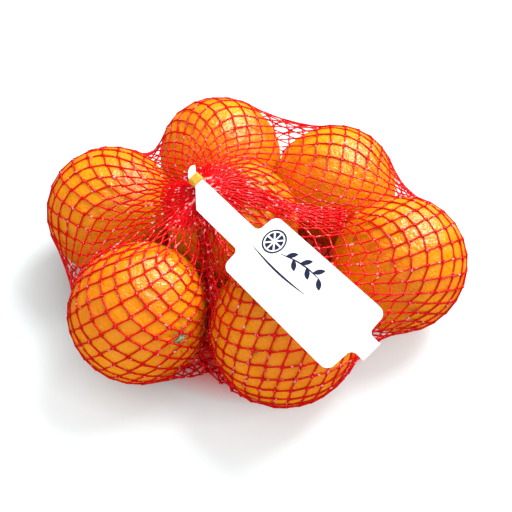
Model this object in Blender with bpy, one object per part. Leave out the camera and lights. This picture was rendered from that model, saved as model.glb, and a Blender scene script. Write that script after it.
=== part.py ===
"""Net of oranges: seven oranges in a knitted net, closed by a clip that also holds a card label.

The filled net is one closed solid. Its surface is a lattice of diamond cells, drawn tight over
the oranges from the gathered neck on top to a pucker underneath, each cell a shallow pit between
its threads. The label is a card strip with a narrow strap, and the clip is a metal band round
the strap and the neck. Lengths below are in millimetres, turned into metres when meshes are made.
The origin is on the floor under the middle of the whole pack, +X to the right and +Y to the back.
"""

import math

import bmesh
import bpy
import numpy as np
from mathutils import Matrix, Vector

MM = 0.001

# Each orange: centre x, centre y and radius.
ORANGES = {
    "left": (-81.7, 26.5, 37.9),
    "back_left": (-19.2, 79.2, 37.8),
    "back_right": (51.7, 51.1, 36.9),
    "right": (82.6, -16.0, 37.1),
    "front_left": (-57.8, -50.2, 36.8),
    "front_right": (17.6, -63.8, 38.3),
    "middle": (-10.5, 5.5, 37.2),
}
MIDDLE_LIFT = 11.0
SINK = 1.0

# The net: rows of knots from neck to pucker, knots in a row, and how far it stands off the peel.
ROWS = 54
KNOTS = 48
NET_THICK = 1.2
PIT_DEPTH = 0.8
FLATTENED_BELOW = 0.7
TIGHTENING_STEPS = 3000
BAG_HALF_WIDTH = 150.0
BAG_HALF_DEPTH = 145.0
BAG_MIDDLE_Z = 40.0
BAG_HALF_HEIGHT = 60.0
HOOP_SHARE = 0.2

# The net hangs a little into the hollows on top, down to the rows where it turns under.
HANG = 0.15
HANG_START = 20
HANG_END = 32

# Where the net is drawn tighter or slacker between two oranges: degrees round the pack, change of hoop share.
WEB_CHANGES = ((185.0, 0.45), (130.0, 0.2), (76.0, 0.25), (250.0, -0.1), (330.0, -0.15))
WEB_SPREAD = 24.0

# The pucker that closes the net underneath, in the hollow between the right-hand oranges.
PUCKER = (37.1, -9.6, 8.0)
PUCKER_RADIUS = 2.0

# The clip: its centre, the label's direction and the way its face looks, then its band.
CLIP_CENTRE = (-28.0, -2.4, 87.0)
LABEL_AXIS = (0.593, -0.805, 0.013)
LABEL_FACE = (-0.36, -0.25, 0.899)
CLIP_WIDTH = 7.0
CLIP_HEIGHT = 4.8
CLIP_LENGTH = 5.8
CLIP_WALL = 0.6
CLIP_CORNER = 1.3
CORNER_STEPS = 4

# The gathered neck inside the clip, and the tuft of net that stands out behind it.
NECK_HALF_WIDTH = 2.5
NECK_HALF_HEIGHT = 1.15
NECK_DROP = 0.5
NECK_REACH = 3.3
THROAT_REACH = 5.0
THROAT_DROP = 1.7
THROAT_HALF_WIDTH = 2.8
THROAT_HALF_HEIGHT = 1.3
FIXED_ROWS = 4
TUFT_LENGTH = 5.5
TUFT_HALF_WIDTH = 4.2
TUFT_HALF_HEIGHT = 1.5

# The label, measured from the clip's centre along the axis and across it, and its height there.
CARD_THICK = 0.4
STRAP_HALF = 2.6
STRAP_LIFT = 1.2
TIP_REACH = 9.5
TIP_SIDE = 3.2
TAPER_START = 3.0
TAPER_END = 15.0
ARM_LEFT = -11.3
ARM_RIGHT = 2.2
SHOULDER = 50.5
PLATE_LENGTH = 81.0
PLATE_CENTRE = -4.0
PLATE_HALF = 18.5
TAIL_LENGTH = 8.0
TAIL_CENTRE = -2.7
TAIL_HALF = 5.2
CORNER_ROUND = 5.0
FILLET = 3.5
BEND_START = 6.0
BEND_END = 42.0
BEND_DROP = 2.9
STATION_STEP = 1.5
LABEL_CLEARANCE = 1.1
CLIP_CLEARANCE = 1.1

LOOKS = {
    "filled_net": ((0.86, 0.25, 0.03), 0.5, 0.0),
    "label": ((0.92, 0.92, 0.91), 0.55, 0.0),
    "clip": ((0.80, 0.53, 0.16), 0.3, 1.0),
}


def clear_scene():
    """Removes every object, so that the model starts from an empty scene."""
    for thing in list(bpy.data.objects):
        bpy.data.objects.remove(thing, do_unlink=True)


def finished(name, mesh):
    """Makes the named object of a mesh, with its own material."""
    colour, roughness, metallic = LOOKS[name]
    material = bpy.data.materials.new(name)
    material.use_nodes = True
    surface = material.node_tree.nodes["Principled BSDF"]
    surface.inputs["Base Color"].default_value = (*colour, 1.0)
    surface.inputs["Roughness"].default_value = roughness
    surface.inputs["Metallic"].default_value = metallic
    mesh.materials.append(material)
    thing = bpy.data.objects.new(name, mesh)
    bpy.context.collection.objects.link(thing)
    return thing


def label_frame():
    """The clip's centre and the unit directions along the label, across it and out of its face."""
    face = Vector(LABEL_FACE).normalized()
    along = Vector(LABEL_AXIS)
    along = (along - face * along.dot(face)).normalized()
    across = face.cross(along)
    return tuple(np.array(v) for v in (CLIP_CENTRE, along, across, face))


def orange_centres():
    """Centres and radii of the oranges, each resting a little into the net it lies on."""
    centres = []
    radii = []
    for name, (x, y, radius) in ORANGES.items():
        lift = MIDDLE_LIFT if name == "middle" else 0.0
        centres.append((x, y, radius + NET_THICK - SINK + lift))
        radii.append(radius)
    return np.array(centres), np.array(radii)


def smooth_step(value, start, end):
    """Rises from 0 at start to 1 at end, level at both."""
    share = np.clip((value - start) / (end - start), 0.0, 1.0)
    return share * share * (3.0 - 2.0 * share)


def card_height(along):
    """Height of the card's middle over the clip's centre line, at a distance along the label."""
    return STRAP_LIFT - BEND_DROP * smooth_step(along, BEND_START, BEND_END)


def row_angles(row):
    """Angles of a row's knots seen from above; every second row is turned by half a knot."""
    return 2.0 * math.pi * (np.arange(KNOTS) + 0.5 * (row % 2)) / KNOTS


def neck_row(row, reach, drop, half_width, half_height):
    """A flat oval of knots round the neck, at a reach in front of the clip's centre and a drop below it."""
    centre, along, across, face = label_frame()
    angles = row_angles(row)
    forward = np.cos(angles) * along[0] + np.sin(angles) * along[1]
    sideways = np.cos(angles) * across[0] + np.sin(angles) * across[1]
    size = np.hypot(forward, sideways)
    middle = centre + along * reach - face * drop
    return middle + np.outer(sideways / size * half_width, across) + np.outer(forward / size * half_height, face)


def loose_net():
    """Knots of the net before it is tightened: a wide bag from the neck to the pucker."""
    knots = np.zeros((ROWS, KNOTS, 3))
    top = np.array(CLIP_CENTRE) - (0.0, 0.0, BAG_MIDDLE_Z + BAG_HALF_HEIGHT)
    bottom = np.array(PUCKER) - (0.0, 0.0, BAG_MIDDLE_Z - BAG_HALF_HEIGHT)
    for row in range(ROWS):
        turn = math.pi * row / (ROWS - 1)
        angles = row_angles(row)
        knots[row, :, 0] = BAG_HALF_WIDTH * math.sin(turn) * np.cos(angles)
        knots[row, :, 1] = BAG_HALF_DEPTH * math.sin(turn) * np.sin(angles)
        knots[row, :, 2] = BAG_MIDDLE_Z + BAG_HALF_HEIGHT * math.cos(turn)
        knots[row] += top * math.cos(turn / 2) ** 6 + bottom * math.sin(turn / 2) ** 6
    knots[0] = neck_row(0, -NECK_REACH - TUFT_LENGTH, NECK_DROP, TUFT_HALF_WIDTH, TUFT_HALF_HEIGHT)
    knots[1] = neck_row(1, -NECK_REACH, NECK_DROP, NECK_HALF_WIDTH, NECK_HALF_HEIGHT)
    knots[2] = neck_row(2, NECK_REACH, NECK_DROP, NECK_HALF_WIDTH, NECK_HALF_HEIGHT)
    knots[3] = neck_row(3, THROAT_REACH, THROAT_DROP, THROAT_HALF_WIDTH, THROAT_HALF_HEIGHT)
    angles = row_angles(ROWS - 1)
    ring = np.stack([np.cos(angles), np.sin(angles), 0.0 * angles], axis=1)
    knots[-1] = np.array(PUCKER) + ring * PUCKER_RADIUS
    return knots


def knot_links():
    """For every knot, the four that its threads run to, and the two beside it in its row."""
    row, knot = np.meshgrid(np.arange(ROWS), np.arange(KNOTS), indexing="ij")
    odd = row % 2
    left = (knot + odd - 1) % KNOTS
    right = (knot + odd) % KNOTS
    above = np.maximum(row - 1, 0) * KNOTS
    below = np.minimum(row + 1, ROWS - 1) * KNOTS
    threads = np.stack([above + left, above + right, below + left, below + right], axis=-1)
    beside = np.stack([row * KNOTS + (knot - 1) % KNOTS, row * KNOTS + (knot + 1) % KNOTS], axis=-1)
    return threads.reshape(-1, 4), beside.reshape(-1, 2)


def hoop_shares():
    """How much each knot is drawn along its row instead of along its threads."""
    shares = np.full((ROWS, KNOTS), HOOP_SHARE)
    for row in range(ROWS):
        degrees = np.degrees(row_angles(row))
        for middle, change in WEB_CHANGES:
            away = (degrees - middle + 180.0) % 360.0 - 180.0
            shares[row] += change * np.exp(-((away / WEB_SPREAD) ** 2))
    return shares.reshape(-1, 1)


def kept_outside(knots, centres, radii):
    """Pushes knots out of the oranges and off the floor."""
    for centre, radius in zip(centres, radii):
        away = knots - centre
        distance = np.linalg.norm(away, axis=1)
        inside = distance < radius + NET_THICK
        knots[inside] = centre + away[inside] * ((radius + NET_THICK) / distance[inside])[:, None]
    knots[:, 2] = np.maximum(knots[:, 2], 0.0)
    return knots


def kept_under_label(knots):
    """Pushes knots down where they would meet the label or the clip."""
    centre, along, across, face = label_frame()
    away = knots - centre
    reach = away @ along
    side = away @ across
    height = away @ face
    by_clip = (np.abs(reach) < CLIP_LENGTH) & (np.abs(side) < CLIP_WIDTH)
    by_label = (reach > -TIP_REACH) & (reach < SHOULDER + PLATE_LENGTH + TAIL_LENGTH)
    by_label &= np.abs(side - PLATE_CENTRE) < PLATE_HALF
    ceiling = np.where(by_label, card_height(reach) - CARD_THICK / 2 - LABEL_CLEARANCE, np.inf)
    ceiling = np.where(by_clip, -CLIP_HEIGHT / 2 - CLIP_CLEARANCE, ceiling)
    excess = np.maximum(height - ceiling, 0.0)
    return knots - excess[:, None] * face


def tightened(knots):
    """Draws each knot to the mean of its neighbours, long threads pulling most, and lets it hang a little."""
    centres, radii = orange_centres()
    threads, beside = knot_links()
    hoops = hoop_shares()
    hang = np.repeat(HANG * (1.0 - smooth_step(np.arange(ROWS), HANG_START, HANG_END)), KNOTS)
    moving = knots.reshape(-1, 3)
    fixed = np.zeros((ROWS, KNOTS), bool)
    fixed[:FIXED_ROWS] = True
    fixed[-1] = True
    fixed = fixed.reshape(-1)
    held = moving[fixed].copy()
    for _ in range(TIGHTENING_STEPS):
        ends = moving[threads]
        pull = np.linalg.norm(ends - moving[:, None], axis=2, keepdims=True) + 1e-6
        drawn = (ends * pull).sum(axis=1) / pull.sum(axis=1)
        drawn = drawn * (1.0 - hoops) + moving[beside].mean(axis=1) * hoops
        drawn = (drawn + moving) / 2
        drawn[:, 2] -= hang
        moving = kept_outside(kept_under_label(drawn), centres, radii)
        moving[fixed] = held
    moving[moving[:, 2] < FLATTENED_BELOW, 2] = 0.0
    return moving.reshape(ROWS, KNOTS, 3)


def cell_of(row, knot):
    """Knots at the corners of the cell beside a knot of this row: left, lower, right, upper."""
    odd = row % 2
    middle = (knot + odd) % KNOTS
    corners = [(row, knot), (row + 1, middle), (row, (knot + 1) % KNOTS), (row - 1, middle)]
    return [r * KNOTS + k for r, k in corners]


def cell_middle(corners, facing, in_neck):
    """Middle of a cell, pushed in below its threads unless it lies in the neck or flat on the floor."""
    if in_neck:
        return (corners[0] + corners[2]) / 2
    middle = corners.mean(axis=0)
    if corners[:, 2].max() == 0.0:
        return middle
    narrow = min(np.linalg.norm(corners[2] - corners[0]), np.linalg.norm(corners[3] - corners[1]))
    return middle - facing * min(PIT_DEPTH, narrow / 8)


def net_mesh():
    """The closed surface of the filled net: four triangles to a cell, and a fan at either end."""
    knots = tightened(loose_net()).reshape(-1, 3)
    points = [tuple(point) for point in knots]
    faces = []
    for row in range(1, ROWS - 1):
        for knot in range(KNOTS):
            cell = cell_of(row, knot)
            corners = knots[cell]
            facing = np.cross(corners[1] - corners[3], corners[2] - corners[0])
            facing = facing / max(np.linalg.norm(facing), 1e-9)
            points.append(tuple(cell_middle(corners, facing, row < FIXED_ROWS)))
            faces += [(cell[i], cell[(i + 1) % 4], len(points) - 1) for i in range(4)]
    points.append(tuple(knots[:KNOTS].mean(axis=0)))
    points.append(tuple(knots[-KNOTS:].mean(axis=0)))
    for knot in range(KNOTS):
        after = (knot + 1) % KNOTS
        faces.append((knot, KNOTS + knot, after))
        faces.append((knot, after, len(points) - 2))
        last = (ROWS - 1) * KNOTS
        middle = (ROWS - 2) * KNOTS + (knot if (ROWS - 1) % 2 == 0 else after)
        faces.append((last + knot, last + after, middle))
        faces.append((last + after, last + knot, len(points) - 1))
    mesh = bpy.data.meshes.new("filled_net")
    mesh.from_pydata([Vector(point) * MM for point in points], [], faces)
    return facing_out(mesh)


def facing_out(mesh):
    """Turns every face of a closed mesh outwards."""
    work = bmesh.new()
    work.from_mesh(mesh)
    bmesh.ops.recalc_face_normals(work, faces=work.faces)
    work.to_mesh(mesh)
    work.free()
    return mesh


def rounded(distance, radius):
    """How far a round corner keeps an edge back, at a distance from the corner's end."""
    if distance >= radius:
        return 0.0
    return radius - math.sqrt(max(radius * radius - (radius - distance) ** 2, 0.0))


def strap_centre(reach):
    """Middle line of the strap, which veers to one side behind the clip."""
    return TIP_SIDE * float(smooth_step(-reach, CLIP_LENGTH / 2, TIP_REACH))


def card_edges(reach):
    """Where the card's two long edges are, at a reach in front of the clip's centre."""
    end = SHOULDER + PLATE_LENGTH
    if reach > end:
        fillet = rounded(reach - end, FILLET)
        return TAIL_CENTRE - TAIL_HALF - fillet, TAIL_CENTRE + TAIL_HALF + fillet
    if reach > SHOULDER:
        back = rounded(reach - SHOULDER, CORNER_ROUND) + rounded(end - reach, CORNER_ROUND)
        return PLATE_CENTRE - PLATE_HALF + back, PLATE_CENTRE + PLATE_HALF - back
    if reach > TAPER_START:
        share = min((reach - TAPER_START) / (TAPER_END - TAPER_START), 1.0)
        fillet = rounded(SHOULDER - reach, FILLET)
        return -STRAP_HALF + (ARM_LEFT + STRAP_HALF) * share - fillet, max(STRAP_HALF, ARM_RIGHT) + fillet
    half = STRAP_HALF - rounded(TIP_REACH + reach, STRAP_HALF)
    centre = strap_centre(reach)
    return centre - half, centre + half


def card_stations():
    """Reaches at which the card's edges are taken, close together where corners are round."""
    end = SHOULDER + PLATE_LENGTH
    marks = [-TIP_REACH + 0.05, TAPER_START, TAPER_END, end + TAIL_LENGTH]
    reach = -TIP_REACH + 0.25
    while reach < end + TAIL_LENGTH - STATION_STEP / 2:
        marks.append(reach)
        near_corner = min(abs(reach - SHOULDER), abs(reach - end), abs(reach + TIP_REACH)) < CORNER_ROUND
        reach += STATION_STEP / 3 if near_corner else STATION_STEP * 2
    return sorted(set(marks))


def label_mesh():
    """The card strip, bent down from the clip to the oranges, as a closed solid."""
    centre, along, across, face = label_frame()
    points = []
    faces = []
    for reach in card_stations():
        for side in card_edges(reach):
            for half in (CARD_THICK / 2, -CARD_THICK / 2):
                height = float(card_height(reach)) + half
                points.append(centre + along * reach + across * side + face * height)
    count = len(points) // 4
    for station in range(count - 1):
        here = station * 4
        there = here + 4
        for first, second in ((0, 2), (2, 3), (3, 1), (1, 0)):
            faces.append((here + first, here + second, there + second, there + first))
    last = (count - 1) * 4
    faces.append((0, 1, 3, 2))
    faces.append((last, last + 2, last + 3, last + 1))
    mesh = bpy.data.meshes.new("label")
    mesh.from_pydata([Vector(point) * MM for point in points], [], faces)
    return facing_out(mesh)


def round_rectangle(half_width, half_height, corner):
    """Points round a rectangle with round corners, centred on the origin."""
    points = []
    for quarter in range(4):
        middle_x = (half_width - corner) * (1 if quarter in (0, 3) else -1)
        middle_y = (half_height - corner) * (1 if quarter in (0, 1) else -1)
        for step in range(CORNER_STEPS + 1):
            angle = math.radians(90.0 * (quarter + step / CORNER_STEPS))
            points.append((middle_x + corner * math.cos(angle), middle_y + corner * math.sin(angle)))
    return points


def clip_mesh():
    """The metal band: a rounded sleeve with an open middle, along the label's axis."""
    outer = round_rectangle(CLIP_WIDTH / 2, CLIP_HEIGHT / 2, CLIP_CORNER)
    inner = round_rectangle(CLIP_WIDTH / 2 - CLIP_WALL, CLIP_HEIGHT / 2 - CLIP_WALL, CLIP_CORNER - CLIP_WALL)
    loops = []
    for reach in (-CLIP_LENGTH / 2, CLIP_LENGTH / 2):
        for loop in (outer, inner):
            loops.append([(reach, side, height) for side, height in loop])
    count = len(outer)
    faces = []
    for i in range(count):
        after = (i + 1) % count
        for first, second in ((0, 1), (1, 3), (3, 2), (2, 0)):
            quad = (first * count + i, first * count + after, second * count + after, second * count + i)
            faces.append(quad)
    mesh = bpy.data.meshes.new("clip")
    mesh.from_pydata([Vector(point) * MM for loop in loops for point in loop], [], faces)
    return facing_out(mesh)


def place_clip(clip):
    """Sets the clip at its place, turned with the label."""
    centre, along, across, face = label_frame()
    turn = Matrix((along, across, face)).transposed().to_4x4()
    clip.matrix_world = Matrix.Translation(Vector(centre) * MM) @ turn


def main():
    clear_scene()
    finished("filled_net", net_mesh())
    finished("label", label_mesh())
    place_clip(finished("clip", clip_mesh()))


main()
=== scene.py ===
"""Looks of the net of oranges: the fruit, the knitted net drawn over it, the clip and the card label.

Sizes are in millimetres, as they are measured, and become metres where a mesh is made.
"""

from __future__ import annotations

import logging
import math
from dataclasses import dataclass
from enum import Enum

import bmesh
import bpy
import numpy as np
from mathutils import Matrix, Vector


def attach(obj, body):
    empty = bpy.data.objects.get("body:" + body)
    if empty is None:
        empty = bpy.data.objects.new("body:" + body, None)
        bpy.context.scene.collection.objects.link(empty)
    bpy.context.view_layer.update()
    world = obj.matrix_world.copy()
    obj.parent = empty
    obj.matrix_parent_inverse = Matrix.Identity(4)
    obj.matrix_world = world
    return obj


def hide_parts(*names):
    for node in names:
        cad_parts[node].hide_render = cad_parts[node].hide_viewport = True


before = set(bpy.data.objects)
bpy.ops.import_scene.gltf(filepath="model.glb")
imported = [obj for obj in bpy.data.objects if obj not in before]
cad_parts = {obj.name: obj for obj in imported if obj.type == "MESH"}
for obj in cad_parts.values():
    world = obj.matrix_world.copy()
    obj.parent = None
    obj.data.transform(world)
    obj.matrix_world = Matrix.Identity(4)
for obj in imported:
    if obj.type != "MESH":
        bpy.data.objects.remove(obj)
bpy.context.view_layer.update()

LOG = logging.getLogger("net_of_oranges")
MM = 0.001
BODY = "root"
FULL_TURN = 2.0 * math.pi

Triple = tuple[float, float, float]
Outline = list[tuple[float, float]]
Socket = bpy.types.NodeSocket


def unit(vector: np.ndarray) -> np.ndarray:
    """Scales vectors to length one.

    Args:
        vector: One vector, or an array with a vector in each last row.

    Returns:
        The vectors at length one.
    """
    size = np.linalg.norm(vector, axis=-1, keepdims=True)
    return vector / np.maximum(size, 1e-9)


def smooth_step(value: np.ndarray, start: float, end: float) -> np.ndarray:
    """Rises from 0 to 1, level at both ends.

    Args:
        value: Where to read it.
        start: Where it leaves 0.
        end: Where it reaches 1.

    Returns:
        The share, between 0 and 1.
    """
    share = np.clip((value - start) / (end - start), 0.0, 1.0)
    return share * share * (3.0 - 2.0 * share)


def turned_from(degrees: np.ndarray, middle: float) -> np.ndarray:
    """Signed angles from a direction, between minus and plus half a turn.

    Args:
        degrees: Directions.
        middle: The direction to measure from.

    Returns:
        The angles in degrees.
    """
    return (degrees - middle + 180.0) % 360.0 - 180.0


def linked(name: str, data: bpy.types.ID) -> bpy.types.Object:
    """Puts a mesh, light or camera into the scene as an object at the origin.

    Args:
        name: The object's name.
        data: Its mesh, light or camera.

    Returns:
        The new object.
    """
    thing = bpy.data.objects.new(name, data)
    bpy.context.collection.objects.link(thing)
    return thing


def made_mesh(
    name: str, points: np.ndarray, faces: list[tuple[int, ...]], smooth: bool = True
) -> bpy.types.Object:
    """Makes an object at the origin from points in millimetres.

    Args:
        name: The object's name.
        points: One point in each row.
        faces: Corner numbers of each face.
        smooth: Whether the faces are shaded smooth.

    Returns:
        The new object, with its faces pointing out.
    """
    mesh = bpy.data.meshes.new(name)
    mesh.from_pydata([tuple(p) for p in np.asarray(points) * MM], [], faces)
    work = bmesh.new()
    work.from_mesh(mesh)
    bmesh.ops.recalc_face_normals(work, faces=work.faces)
    work.to_mesh(mesh)
    work.free()
    if smooth:
        mesh.shade_smooth()
    return linked(name, mesh)


def write_values(mesh: bpy.types.Mesh, name: str, values: np.ndarray) -> None:
    """Stores a number or a vector on every vertex.

    Args:
        mesh: The mesh that takes them.
        name: The attribute's name.
        values: A number for each vertex, or a row of three.
    """
    values = np.asarray(values, np.float32)
    if values.ndim > 1:
        mesh.attributes.new(name, "FLOAT_VECTOR", "POINT").data.foreach_set("vector", values.reshape(-1))
    else:
        mesh.attributes.new(name, "FLOAT", "POINT").data.foreach_set("value", values)


def shipped(thing: bpy.types.Object, slot: str, *nodes: str) -> bpy.types.Object:
    """Hands a finished piece over: puts it on its body and hides the CAD nodes that it stands for.

    Args:
        thing: The finished piece.
        slot: The record's material slot. Not used.
        *nodes: CAD nodes that the piece replaces.

    Returns:
        The same piece.
    """
    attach(thing, BODY)
    if nodes:
        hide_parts(*nodes)
    LOG.info("%s: %d faces", thing.name, len(thing.data.polygons))
    return thing


class Looks:
    """A node material under construction, with short calls for the nodes that the finishes share."""

    def __init__(self, name: str) -> None:
        """Starts a material with a Principled surface.

        Args:
            name: The material's name.
        """
        self.material = bpy.data.materials.new(name)
        self.material.use_nodes = True
        self.tree = self.material.node_tree
        self.surface = self.tree.nodes["Principled BSDF"]
        self.place = self.node("ShaderNodeTexCoord").outputs["Object"]

    def node(self, kind: str, **settings: object) -> bpy.types.Node:
        """Adds a node.

        Args:
            kind: The node's type.
            **settings: Its properties.

        Returns:
            The node.
        """
        made = self.tree.nodes.new(kind)
        for key, value in settings.items():
            setattr(made, key, value)
        return made

    def feed(self, socket: Socket, value: object) -> None:
        """Links a socket, or sets its value.

        Args:
            socket: The input.
            value: An output socket, a number or a colour.
        """
        if isinstance(value, Socket):
            self.tree.links.new(value, socket)
        elif isinstance(value, tuple) and len(value) == 3 and socket.type == "RGBA":
            socket.default_value = (*value, 1.0)
        else:
            socket.default_value = value

    def dress(self, values: dict[str, object]) -> None:
        """Feeds the surface.

        Args:
            values: Sockets, numbers or colours, by the input's name.
        """
        for name, value in values.items():
            self.feed(self.surface.inputs[name], value)

    def noise(self, scale: float, detail: float = 3.0, roughness: float = 0.55) -> Socket:
        """Soft noise over the piece.

        Args:
            scale: Lumps in a metre.
            detail: Octaves.
            roughness: How strong the finer octaves are.

        Returns:
            The noise's value.
        """
        made = self.node("ShaderNodeTexNoise")
        self.feed(made.inputs["Vector"], self.place)
        made.inputs["Scale"].default_value = scale
        made.inputs["Detail"].default_value = detail
        made.inputs["Roughness"].default_value = roughness
        return made.outputs["Fac"]

    def cells(self, scale: float, feature: str = "F1") -> Socket:
        """Distance to the nearest of many scattered points.

        Args:
            scale: Cells in a metre.
            feature: Which distance.

        Returns:
            The distance.
        """
        made = self.node("ShaderNodeTexVoronoi", feature=feature)
        self.feed(made.inputs["Vector"], self.place)
        made.inputs["Scale"].default_value = scale
        return made.outputs["Distance"]

    def ramp(self, value: object, stops: list[tuple[float, Triple]]) -> Socket:
        """Turns a value into a colour.

        Args:
            value: The value's socket.
            stops: Positions and their colours.

        Returns:
            The colour.
        """
        made = self.node("ShaderNodeValToRGB")
        self.feed(made.inputs["Fac"], value)
        band = made.color_ramp
        while len(band.elements) < len(stops):
            band.elements.new(0.5)
        for element, (position, colour) in zip(band.elements, stops):
            element.position = position
            element.color = (*colour, 1.0)
        return made.outputs["Color"]

    def span(self, value: object, low: float, high: float, start: float, end: float) -> Socket:
        """Maps a range onto another, held at its ends.

        Args:
            value: The value's socket.
            low: Where the range starts.
            high: Where it ends.
            start: What low becomes.
            end: What high becomes.

        Returns:
            The mapped value.
        """
        made = self.node("ShaderNodeMapRange")
        self.feed(made.inputs["Value"], value)
        made.inputs["From Min"].default_value = low
        made.inputs["From Max"].default_value = high
        made.inputs["To Min"].default_value = start
        made.inputs["To Max"].default_value = end
        return made.outputs["Result"]

    def sum(self, first: object, second: object, kind: str = "ADD") -> Socket:
        """Joins two numbers.

        Args:
            first: A socket or a number.
            second: A socket or a number.
            kind: The operation.

        Returns:
            The result.
        """
        made = self.node("ShaderNodeMath", operation=kind)
        self.feed(made.inputs[0], first)
        self.feed(made.inputs[1], second)
        return made.outputs[0]

    def mixed(self, share: object, first: object, second: object, blend: str = "MIX") -> Socket:
        """Mixes two colours.

        Args:
            share: How much of the second.
            first: A colour or its socket.
            second: A colour or its socket.
            blend: How they mix.

        Returns:
            The colour.
        """
        made = self.node("ShaderNodeMix", data_type="RGBA", blend_type=blend)
        self.feed(made.inputs["Factor"], share)
        self.feed(made.inputs["A"], first)
        self.feed(made.inputs["B"], second)
        return made.outputs["Result"]

    def attribute(self, name: str) -> Socket:
        """Reads a number stored on the mesh.

        Args:
            name: The attribute's name.

        Returns:
            Its value.
        """
        return self.node("ShaderNodeAttribute", attribute_name=name).outputs["Fac"]

    def relief(self, height: Socket, depth: float, below: Socket | None = None) -> Socket:
        """Bump from a height.

        Args:
            height: The height's socket.
            depth: Its depth in metres.
            below: The normal of the relief underneath, if there is one.

        Returns:
            The normal.
        """
        made = self.node("ShaderNodeBump")
        made.inputs["Strength"].default_value = 1.0
        made.inputs["Distance"].default_value = depth
        self.feed(made.inputs["Height"], height)
        if below is not None:
            self.feed(made.inputs["Normal"], below)
        return made.outputs["Normal"]


@dataclass(frozen=True)
class PeelFinish:
    """Waxy orange peel: two tones of orange, pores, a pale ring at the stem and a scar at the tip."""

    deep: Triple = (0.74, 0.190, 0.001)
    light: Triple = (0.85, 0.290, 0.002)
    pore: Triple = (0.70, 0.14, 0.001)
    stem_ring: Triple = (0.70, 0.42, 0.05)
    scar: Triple = (0.12, 0.07, 0.03)
    pore_pitch: float = 1.15
    pore_depth: float = 0.16
    lump_depth: float = 1.25
    stem_reach: tuple[float, float] = (2.0, 8.0)
    scar_reach: tuple[float, float] = (0.9, 2.2)
    glow_reach: Triple = (0.004, 0.0015, 0.0004)
    roughness: float = 0.21

    def made(self) -> bpy.types.Material:
        """Builds the peel.

        Returns:
            The material.
        """
        look = Looks("orange_peel")
        patches = look.noise(38.0, 4.0)
        tone = look.sum(look.span(patches, 0.35, 0.68, 0.0, 1.0), look.attribute("tone"))
        colour = look.ramp(tone, [(0.0, self.deep), (1.0, self.light)])
        pores = look.cells(1.0 / (self.pore_pitch * MM))
        pit = look.span(pores, 0.0, 0.45, 1.0, 0.0)
        colour = look.mixed(look.sum(pit, 0.35, "MULTIPLY"), colour, self.pore)
        stem = look.attribute("from_stem")
        colour = look.mixed(look.span(stem, *self.stem_reach, 0.75, 0.0), colour, self.stem_ring)
        tip = look.attribute("from_tip")
        ragged = look.sum(tip, look.span(look.noise(900.0), 0.3, 0.7, -0.6, 0.6))
        colour = look.mixed(look.span(ragged, *self.scar_reach, 0.55, 0.0), colour, self.scar)
        shine = look.span(look.noise(160.0), 0.3, 0.7, self.roughness - 0.07, self.roughness + 0.10)
        broad = look.relief(look.noise(310.0, 3.0), self.lump_depth * MM)
        pitted = look.relief(look.sum(pit, -1.0, "MULTIPLY"), self.pore_depth * MM, broad)
        look.dress({"Base Color": colour, "Roughness": shine, "Normal": pitted})
        look.dress({"Specular IOR Level": 0.50, "Subsurface Weight": 0.12, "Subsurface Scale": 1.0})
        look.dress({"Subsurface Radius": self.glow_reach})
        return look.material


@dataclass(frozen=True)
class ThreadFinish:
    """Shiny red plastic thread, a little see-through, with filaments, and painted pale pink glints in its
    colour, more of them where it is slack.
    """

    red: Triple = (0.66, 0.002, 0.003)
    bright: Triple = (0.80, 0.003, 0.008)
    # Colour of the painted highlights: pale pink glints painted into the thread's base colour.
    glint: Triple = (1.0, 0.58, 0.62)
    roughness: float = 0.14
    solidity: float = 0.86
    slack_widths: tuple[float, float] = (0.26, 0.45)
    slack_painted_glints: float = 0.17
    painted_glint_range: tuple[float, float] = (0.65, 0.72)
    painted_glint_strength: float = 0.75

    def made(self) -> bpy.types.Material:
        """Builds the thread.

        Returns:
            The material.
        """
        look = Looks("red_thread")
        colour = look.mixed(look.span(look.noise(420.0), 0.35, 0.65, 0.0, 1.0), self.red, self.bright)
        thin, thick = self.slack_widths
        # Painted highlights: pale pink glints painted into the base colour by a noise, more where the thread
        # is thin and slack.
        slack = look.span(look.attribute("half_width"), thin * MM, thick * MM, self.slack_painted_glints, 0.0)
        painted_glints = look.sum(look.noise(430.0, 1.5), slack)
        painted_glints = look.span(painted_glints, *self.painted_glint_range, 0.0, self.painted_glint_strength)
        shine = look.span(look.noise(800.0), 0.3, 0.7, self.roughness - 0.06, self.roughness + 0.12)
        filaments = look.relief(look.noise(3500.0, 2.0), 0.12 * MM)
        look.dress({"Base Color": look.mixed(painted_glints, colour, self.glint), "Roughness": shine})
        look.dress({"Normal": filaments, "Specular IOR Level": 0.24, "Alpha": self.solidity})
        return look.material


@dataclass(frozen=True)
class CardFinish:
    """White coated card with a faint fibre under its coat."""

    white: Triple = (0.93, 0.93, 0.925)
    shade: Triple = (0.89, 0.89, 0.885)

    def made(self) -> bpy.types.Material:
        """Builds the card.

        Returns:
            The material.
        """
        look = Looks("white_card")
        fibre = look.noise(700.0, 5.0, 0.65)
        colour = look.mixed(look.span(fibre, 0.4, 0.6, 0.0, 1.0), self.white, self.shade)
        look.dress({"Base Color": colour, "Roughness": look.span(fibre, 0.3, 0.7, 0.42, 0.55)})
        look.dress({"Normal": look.relief(fibre, 0.02 * MM), "Specular IOR Level": 0.35})
        return look.material


@dataclass(frozen=True)
class InkFinish:
    """Dark blue printing ink, a little uneven where the card's fibre takes it."""

    dark: Triple = (0.006, 0.011, 0.050)
    thin: Triple = (0.014, 0.023, 0.080)

    def made(self) -> bpy.types.Material:
        """Builds the ink.

        Returns:
            The material.
        """
        look = Looks("navy_ink")
        colour = look.mixed(look.span(look.noise(1500.0), 0.45, 0.7, 0.0, 1.0), self.dark, self.thin)
        look.dress({"Base Color": colour, "Roughness": look.span(look.noise(900.0), 0.3, 0.7, 0.45, 0.6)})
        return look.material


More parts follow.
